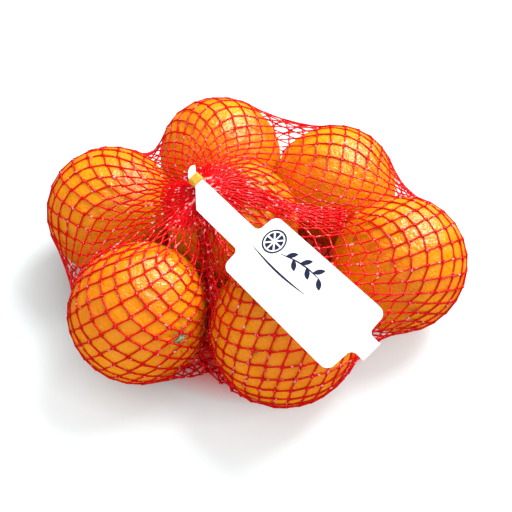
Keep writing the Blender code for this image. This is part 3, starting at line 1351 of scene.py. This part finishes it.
class NodeTree:
    """A geometry tree under construction."""

    def __init__(self, name: str) -> None:
        """Starts a tree with a mesh going in and out.

        Args:
            name: The tree's name.
        """
        self.group = bpy.data.node_groups.new(name, "GeometryNodeTree")
        face = self.group.interface
        face.new_socket("Guide", in_out="INPUT", socket_type="NodeSocketGeometry")
        face.new_socket("Grown", in_out="OUTPUT", socket_type="NodeSocketGeometry")
        self.given = None

    def ask(self, name: str, kind: str, default: object) -> None:
        """Adds a named input.

        Args:
            name: Its name.
            kind: Its socket type.
            default: Its value when nothing else is set.
        """
        made = self.group.interface.new_socket(name, in_out="INPUT", socket_type=kind)
        made.default_value = default

    def step(self, kind: str, feeds: dict[str, object], **settings: object) -> bpy.types.Node:
        """Adds a node and feeds its inputs.

        Args:
            kind: The node's type.
            feeds: Values or output sockets, by input name.
            **settings: Its properties.

        Returns:
            The node.
        """
        made = self.group.nodes.new(kind)
        for key, value in settings.items():
            setattr(made, key, value)
        for key, value in feeds.items():
            if isinstance(value, Socket):
                self.group.links.new(value, made.inputs[key])
            else:
                made.inputs[key].default_value = value
        return made

    def start(self) -> bpy.types.Node:
        """Adds the node that holds the inputs."""
        self.given = self.group.nodes.new("NodeGroupInput")
        return self.given

    def end(self, geometry: Socket, finish: bpy.types.Material) -> bpy.types.NodeTree:
        """Closes the tree: smooth faces, realized, in one material.

        Args:
            geometry: What was made.
            finish: Its material.

        Returns:
            The tree.
        """
        smooth = self.step("GeometryNodeSetShadeSmooth", {"Geometry": geometry})
        real = self.step("GeometryNodeRealizeInstances", {"Geometry": smooth.outputs[0]})
        painted = self.step("GeometryNodeSetMaterial", {"Geometry": real.outputs[0], "Material": finish})
        last = self.group.nodes.new("NodeGroupOutput")
        self.group.links.new(painted.outputs[0], last.inputs[0])
        return self.group


@dataclass
class StrandNodes:
    """Geometry nodes that turn edges into smooth tubes of thread."""

    finish: bpy.types.Material

    def tree(self) -> bpy.types.NodeTree:
        """Builds the tree.

        Returns:
            The tree, with inputs Sides and Smoothing.
        """
        work = NodeTree("thread_tubes")
        work.ask("Sides", "NodeSocketInt", 6)
        work.ask("Smoothing", "NodeSocketInt", 2)
        given = work.start()
        lines = work.step("GeometryNodeMeshToCurve", {"Mesh": given.outputs["Guide"]})
        line = {"Curve": lines.outputs[0]}
        kind = work.step("GeometryNodeCurveSplineType", line, spline_type="CATMULL_ROM")
        finer = {"Geometry": kind.outputs[0], "Resolution": given.outputs["Smoothing"]}
        fine = work.step("GeometryNodeSetSplineResolution", finer)
        width = work.step("GeometryNodeInputNamedAttribute", {"Name": "half_width"}, data_type="FLOAT")
        round_profile = {"Resolution": given.outputs["Sides"], "Radius": 1.0}
        ring = work.step("GeometryNodeCurvePrimitiveCircle", round_profile)
        tube = work.step(
            "GeometryNodeCurveToMesh",
            {
                "Curve": fine.outputs[0],
                "Profile Curve": ring.outputs["Curve"],
                "Scale": width.outputs["Attribute"],
                "Fill Caps": True,
            },
        )
        return work.end(tube.outputs[0], self.finish)


@dataclass
class BeadNodes:
    """Geometry nodes that set a small knot on every point, turned with the net."""

    finish: bpy.types.Material

    def tree(self) -> bpy.types.NodeTree:
        """Builds the tree.

        Returns:
            The tree, with inputs Segments and Rings.
        """
        work = NodeTree("knot_beads")
        work.ask("Segments", "NodeSocketInt", 7)
        work.ask("Rings", "NodeSocketInt", 5)
        given = work.start()
        ball = work.step(
            "GeometryNodeMeshUVSphere",
            {"Segments": given.outputs["Segments"], "Rings": given.outputs["Rings"], "Radius": 1.0},
        )
        down = work.step("GeometryNodeInputNamedAttribute", {"Name": "down_way"}, data_type="FLOAT_VECTOR")
        out = work.step("GeometryNodeInputNamedAttribute", {"Name": "out_way"}, data_type="FLOAT_VECTOR")
        size = work.step("GeometryNodeInputNamedAttribute", {"Name": "bead_size"}, data_type="FLOAT_VECTOR")
        turn = work.step(
            "FunctionNodeAxesToRotation",
            {"Primary Axis": out.outputs["Attribute"], "Secondary Axis": down.outputs["Attribute"]},
            primary_axis="Z",
            secondary_axis="X",
        )
        points = work.step("GeometryNodeMeshToPoints", {"Mesh": given.outputs["Guide"]})
        set_on = work.step(
            "GeometryNodeInstanceOnPoints",
            {
                "Points": points.outputs[0],
                "Instance": ball.outputs["Mesh"],
                "Rotation": turn.outputs[0],
                "Scale": size.outputs["Attribute"],
            },
        )
        return work.end(set_on.outputs[0], self.finish)


@dataclass
class Clip:
    """The crimped metal band round the neck and the strap."""

    closure: Closure
    half_width: float = 3.5
    half_height: float = 2.4
    half_length: float = 2.9
    wall: float = 0.6
    corner: float = 1.2
    corner_steps: int = 5
    crimp: float = 0.22
    rim: float = 0.14
    tab_thickness: float = 0.35

    def outline(self, inset: float) -> np.ndarray:
        """The band's cross-section at an inset.

        Args:
            inset: How far inside the outer face.

        Returns:
            Points across and out of the label.
        """
        corner = max(self.corner - inset, 0.25)
        points = []
        for quarter in range(4):
            x = (self.half_width - inset - corner) * (1 if quarter in (0, 3) else -1)
            y = (self.half_height - inset - corner) * (1 if quarter in (0, 1) else -1)
            for step in range(self.corner_steps + 1):
                angle = math.radians(90.0 * (quarter + step / self.corner_steps))
                points.append((x + corner * math.cos(angle), y + corner * math.sin(angle)))
        return np.array(points)

    def band(self) -> bpy.types.Object:
        """The band itself: a sleeve with rolled rims and two crimped grooves.

        Returns:
            The closed mesh.
        """
        stations = np.linspace(-1.0, 1.0, 25)
        loops = []
        for share in stations:
            groove = self.crimp * (math.exp(-(((abs(share) - 0.45) / 0.12) ** 2)))
            rolled = self.rim * smooth_step(np.array(abs(share)), 0.86, 1.0) * 1.6
            loops.append((share * self.half_length, self.outline(groove + float(rolled))))
        for share in stations[::-1]:
            loops.append((share * self.half_length * 0.985, self.outline(self.wall)))
        count = len(loops[0][1])
        points = []
        for reach, loop in loops:
            points += list(self.closure.at(np.full(count, reach), loop[:, 0], loop[:, 1]))
        faces = []
        for row in range(len(loops)):
            after_row = (row + 1) % len(loops)
            for step in range(count):
                after = (step + 1) % count
                here, there = row * count, after_row * count
                faces.append((here + step, here + after, there + after, there + step))
        return made_mesh("clip_band", np.array(points), faces)

    def tab(self) -> bpy.types.Object:
        """The folded-over end of the strip, lying on the band's face.

        Returns:
            The closed mesh.
        """
        along, across = 9, 9
        half_long, thick = self.half_length * 0.94, self.tab_thickness
        low, high = -self.half_width * 0.62, self.half_width * 0.96
        points = []
        for level in (0, 1):
            for i in range(along):
                for j in range(across):
                    reach = half_long * (2.0 * i / (along - 1) - 1.0)
                    side = low + (high - low) * j / (across - 1)
                    edge = min(i, along - 1 - i, j, across - 1 - j) == 0
                    fall = 0.55 * smooth_step(np.array(side), self.half_width * 0.55, self.half_width)
                    rise = level * (thick - (0.12 if edge else 0.0)) - float(fall)
                    points.append(self.closure.at(reach, side, self.half_height + 0.02 + rise))
        faces, layer = [], along * across
        for i in range(along - 1):
            for j in range(across - 1):
                a = i * across + j
                faces.append((a, a + 1, a + across + 1, a + across))
                faces.append((layer + a, layer + a + across, layer + a + across + 1, layer + a + 1))
        rim = list(range(across))
        rim += [i * across + across - 1 for i in range(1, along)]
        rim += [(along - 1) * across + j for j in range(across - 2, -1, -1)]
        rim += [i * across for i in range(along - 2, 0, -1)]
        for a, b in zip(rim, rim[1:] + rim[:1]):
            faces.append((a, b, layer + b, layer + a))
        return made_mesh("clip_tab", np.array(points), faces, smooth=False)


@dataclass
class Print:
    """A plain printed emblem on the label: a slice of citrus and a leafy twig over a thin stroke."""

    closure: Closure
    centre_reach: float = 61.5
    centre_side: float = 4.2
    slice_radius: float = 6.6
    ring_width: float = 0.9
    segments: int = 8
    twig_start: float = 69.5
    twig_end: float = 95.0
    leaves: int = 6
    leaf_length: float = 6.4
    leaf_width: float = 2.7
    rule_side: float = -4.6
    rule_width: float = 1.1
    rule_swing: float = 1.1
    lift: float = 0.23
    film: float = 0.04

    RIND_ARCS = 24
    LEAF_STEPS = 12

    def filled(self, outlines: list[Outline]) -> tuple[list[np.ndarray], list[tuple[int, ...]]]:
        """Thin prints of ink with the given outlines.

        Args:
            outlines: Closed outlines, each a list of reach and side.

        Returns:
            Points and faces of all of them.
        """
        points, faces = [], []
        for outline in outlines:
            start, count = len(points), len(outline)
            for level in (self.lift, self.lift + self.film):
                for reach, side in outline:
                    height = float(self.closure.card_height(np.array(reach))) + level
                    points.append(self.closure.at(reach, side, height))
            faces.append(tuple(start + n for n in range(count)))
            faces.append(tuple(start + count + n for n in reversed(range(count))))
            for n in range(count):
                after = (n + 1) % count
                faces.append((start + n, start + after, start + count + after, start + count + n))
        return points, faces

    def arc(self, radius: float, start: float, end: float, steps: int) -> Outline:
        """Points along an arc about the emblem's middle.

        Args:
            radius: The arc's radius.
            start: Where it starts, in radians.
            end: Where it ends.
            steps: How many stretches it has.

        Returns:
            The points.
        """
        points = []
        for n in range(steps + 1):
            turn = start + (end - start) * n / steps
            reach, side = radius * math.cos(turn), radius * math.sin(turn)
            points.append((self.centre_reach + reach, self.centre_side + side))
        return points

    def slice_outlines(self) -> list[Outline]:
        """The slice's rind, in short arcs, and its segments.

        Returns:
            Their outlines.
        """
        inner = self.slice_radius - self.ring_width
        shapes = []
        for n in range(self.RIND_ARCS):
            start, end = FULL_TURN * n / self.RIND_ARCS, FULL_TURN * (n + 1) / self.RIND_ARCS
            shapes.append(self.arc(self.slice_radius, start, end, 3) + self.arc(inner, end, start, 3))
        wedge = FULL_TURN / self.segments
        spread = wedge / 2 - 0.10
        for n in range(self.segments):
            middle = wedge * (n + 0.5)
            tip = self.arc(1.2, middle, middle, 1)[:1]
            shapes.append(tip + self.arc(inner - 0.8, middle - spread, middle + spread, 8))
        return shapes

    def stroke(self, path: Outline, thin: float, thick: float) -> Outline:
        """A brush stroke that is thin at its ends.

        Args:
            path: Its middle line.
            thin: Its width at the ends.
            thick: Its width in the middle.

        Returns:
            Its outline.
        """
        line = np.array(path)
        way = unit(np.gradient(line, axis=0))
        share = np.linspace(0.0, 1.0, len(line))
        half = (thin + (thick - thin) * np.sin(share * math.pi)) / 2
        side = np.stack([-way[:, 1], way[:, 0]], axis=1) * half[:, None]
        return [tuple(p) for p in line - side] + [tuple(p) for p in (line + side)[::-1]]

    def twig_side(self, reach: float) -> float:
        """Where the twig's middle line is across the label, at a distance along it."""
        share = (reach - self.twig_start) / (self.twig_end - self.twig_start)
        return self.centre_side - 2.4 + 3.4 * share + 1.5 * math.sin(share * math.pi)

    def leaf(self, reach: float, turn: float) -> Outline:
        """A pointed leaf on the twig.

        Args:
            reach: Where it grows from.
            turn: The way it points, in radians from the label's length.

        Returns:
            Its outline.
        """
        outline = []
        for n in range(2 * self.LEAF_STEPS):
            share = n / self.LEAF_STEPS
            along = self.leaf_length * (share if share <= 1.0 else 2.0 - share)
            bulge = 0.0
            if n not in (0, self.LEAF_STEPS):
                bulge = self.leaf_width / 2 * math.sin(math.pi * (along / self.leaf_length)) ** 0.8
            out = bulge if share <= 1.0 else -bulge
            x = along * math.cos(turn) - out * math.sin(turn)
            y = along * math.sin(turn) + out * math.cos(turn)
            outline.append((reach + x, self.twig_side(reach) + y))
        return outline

    def emblem(self) -> bpy.types.Object:
        """The slice, the leafy twig beside it and the long stroke under both.

        Returns:
            The mesh of ink.
        """
        shapes = self.slice_outlines()
        reaches = np.linspace(self.twig_start, self.twig_end, 15)
        shapes.append(self.stroke([(float(r), self.twig_side(float(r))) for r in reaches], 0.3, 0.8))
        for n in range(self.leaves):
            reach = self.twig_start + 3.0 + (self.twig_end - self.twig_start - 4.0) * n / (self.leaves - 1)
            shapes.append(self.leaf(reach, math.radians(48.0 if n % 2 == 0 else -38.0)))
        low, high = self.centre_reach - self.slice_radius, self.twig_end
        reaches = np.linspace(low, high, 17)
        swing = self.rule_side - self.rule_swing * np.sin((reaches - low) / (high - low) * math.pi)
        shapes.append(self.stroke(list(zip(reaches, swing)), 0.25, self.rule_width))
        points, faces = self.filled(shapes)
        return made_mesh("label_print", np.array(points), faces, smooth=False)


@dataclass
class Studio:
    """The camera at the photograph's viewing angle, one soft light, an even sky and a pale floor."""

    focal_pixels: float = 836.1
    image_pixels: float = 512.0
    sensor_mm: float = 36.0
    elevation: float = 45.39
    distance: float = 468.6
    target: Triple = (3.1, -11.6, 40.0)
    floor_size: float = 6.0
    world_strength: float = 1.07
    glossy_strength: float = 0.0
    key_place: Triple = (0.58, 0.52, 1.04)
    key_size: float = 0.7
    key_watts: float = 28.0

    def camera(self) -> None:
        """Sets the camera."""
        data = bpy.data.cameras.new("camera")
        data.sensor_width = self.sensor_mm
        data.lens = self.focal_pixels / self.image_pixels * self.sensor_mm
        data.clip_start = 0.01
        thing = linked("camera", data)
        lift = math.radians(self.elevation)
        back = Vector((0.0, -math.cos(lift), math.sin(lift)))
        thing.location = (Vector(self.target) + back * self.distance) * MM
        thing.rotation_euler = back.to_track_quat("Z", "Y").to_euler()
        bpy.context.scene.camera = thing

    def light(self, name: str, place: Triple, size: float, power: float) -> None:
        """Adds a square soft light that looks at the object.

        Args:
            name: Its name.
            place: Where it hangs, in metres.
            size: Its side, in metres.
            power: Its power in watts.
        """
        data = bpy.data.lights.new(name, "AREA")
        data.shape = "SQUARE"
        data.size = size
        data.energy = power
        thing = linked(name, data)
        thing.location = place
        thing.rotation_euler = Vector(place).to_track_quat("Z", "Y").to_euler()

    def floor(self) -> None:
        """Lays the floor."""
        half = self.floor_size / 2 / MM
        corners = np.array([(-half, -half, 0.0), (half, -half, 0.0), (half, half, 0.0), (-half, half, 0.0)])
        thing = made_mesh("studio_floor", corners, [(0, 1, 2, 3)], smooth=False)
        thing.data.materials.append(PaperFloor().made())

    def sky(self) -> None:
        """Fills the shadows with even white light."""
        world = bpy.data.worlds.new("studio")
        world.use_nodes = True
        sky = world.node_tree.nodes["Background"]
        sky.inputs["Color"].default_value = (1.0, 1.0, 1.0, 1.0)
        rays = world.node_tree.nodes.new("ShaderNodeLightPath")
        strength = world.node_tree.nodes.new("ShaderNodeMapRange")
        world.node_tree.links.new(rays.outputs["Is Glossy Ray"], strength.inputs["Value"])
        strength.inputs["To Min"].default_value = self.world_strength
        strength.inputs["To Max"].default_value = self.glossy_strength
        world.node_tree.links.new(strength.outputs["Result"], sky.inputs["Strength"])
        world.cycles.sampling_method = "NONE"
        bpy.context.scene.world = world

    def build(self) -> None:
        """Sets up the whole studio."""
        self.camera()
        self.floor()
        self.sky()
        self.light("key", self.key_place, self.key_size, self.key_watts)
        bpy.context.scene.view_settings.view_transform = "Standard"


def painted(thing: bpy.types.Object, finish: bpy.types.Material) -> bpy.types.Object:
    """Gives a piece its one material.

    Args:
        thing: The piece.
        finish: The material.

    Returns:
        The same piece.
    """
    thing.data.materials.clear()
    thing.data.materials.append(finish)
    return thing


def main() -> None:
    """Builds the pieces in order and reports each."""
    logging.basicConfig(level=logging.INFO, format="%(name)s %(message)s")
    closure = Closure()
    peel, stem_finish, thread = PeelFinish().made(), StemFinish().made(), ThreadFinish().made()
    for orange in ORANGES:
        shipped(painted(orange.skin(), peel), "net", "filled_net")
        shipped(painted(orange.calyx(), stem_finish), "net", "filled_net")
    net = Net(closure, ORANGES)
    knots = net.drawn()
    for name, first, last in net.BANDS:
        shipped(net.band(knots, name, first, last, thread), "net", "filled_net")
    folded = net.folded_under(knots)
    shipped(net.band(folded, "net_fold", *net.fold_rows, thread), "net", "filled_net")
    pleat = net.band(folded, "net_pleat", *net.pleat_rows, thread, net.pleat_columns())
    shipped(pleat, "net", "filled_net")
    shipped(net.knot_beads(knots, thread), "net", "filled_net")
    gold = BrassFinish().made()
    clip = Clip(closure)
    shipped(painted(clip.band(), gold), "metal", "clip")
    shipped(painted(clip.tab(), gold), "metal", "clip")
    painted(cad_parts["label"], CardFinish().made())
    shipped(painted(Print(closure).emblem(), InkFinish().made()), "card")
    Studio().build()


if __name__ == "__main__":
    main()
